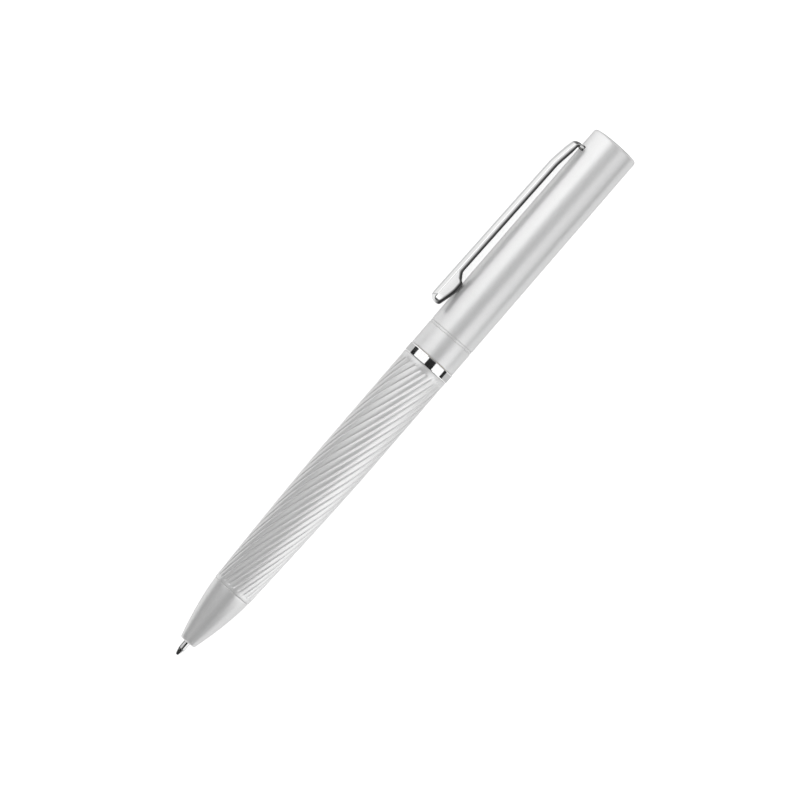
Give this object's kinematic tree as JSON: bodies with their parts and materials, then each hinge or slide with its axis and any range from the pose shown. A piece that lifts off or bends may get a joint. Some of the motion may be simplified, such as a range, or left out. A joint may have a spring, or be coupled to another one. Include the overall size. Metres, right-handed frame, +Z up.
{
  "type": "ballpoint pen",
  "caption": "Twist-action metal ballpoint pen with a helically fluted lower barrel, chrome centre ring, smooth upper barrel and sprung pocket clip, tip out.",
  "frame": {"origin": "on the surface that the pen lies on, under the middle of its box", "axes": "+X along the pen toward the writing tip; +Z up from the surface; the clip points down and toward -Y"},
  "size_m": [0.1382, 0.014, 0.011],
  "materials": {
    "lacquer": "satin pearl lacquer over brass",
    "chrome": "polished chrome plate",
    "brass": "turned, bare",
    "steel": "drawn, bare",
    "black_plastic": "moulded acetal",
    "white_plastic": "moulded acetal",
    "ink": "paste ink",
    "carbide": "polished tungsten carbide"
  },
  "bodies": {
    "lower": {"nose_cone": "lacquer", "lower_barrel": "lacquer", "thread_bushing": "brass", "centre_ring": "chrome", "guide_tube": "brass", "friction_washer": "white_plastic", "snap_ring": "steel"},
    "upper": {"upper_barrel": "lacquer", "drive_sleeve": "brass", "cam_tube": "brass", "clip_retainer": "black_plastic"},
    "clip": {"clip": "chrome"},
    "refill": {"carrier": "black_plastic", "cross_pin": "steel", "refill_plug": "white_plastic", "refill_tube": "steel", "refill_tip": "chrome", "ink_column": "ink"},
    "ball": {"writing_ball": "carbide"}
  },
  "joints": [
    {"name": "twist", "type": "hinge", "parent": "lower", "child": "upper", "pos_m": [-0.01115, 0.00151, 0.00549], "axis": [-1, 0, 0], "range_deg": [0, 180]},
    {"name": "refill_advance", "type": "slide", "parent": "lower", "child": "refill", "axis": [1, 0, 0], "range_m": [-0.0045, 0]},
    {"name": "clip_flex", "type": "hinge", "parent": "upper", "child": "clip", "pos_m": [-0.06392, -0.00293, 0.00308], "axis": [0, 0.4768, -0.879], "range_deg": [0, 3], "stiffness_Nm_per_rad": 3.2, "springref_deg": -0.57},
    {"name": "ball_roll", "type": "hinge", "parent": "refill", "child": "ball", "pos_m": [0.06875, 0.00151, 0.00549], "axis": [0, 1, 0], "continuous": true}
  ],
  "couplings": [
    {"joint": "refill_advance", "follows": "twist", "m_per_rad": -0.0014324}
  ]
}
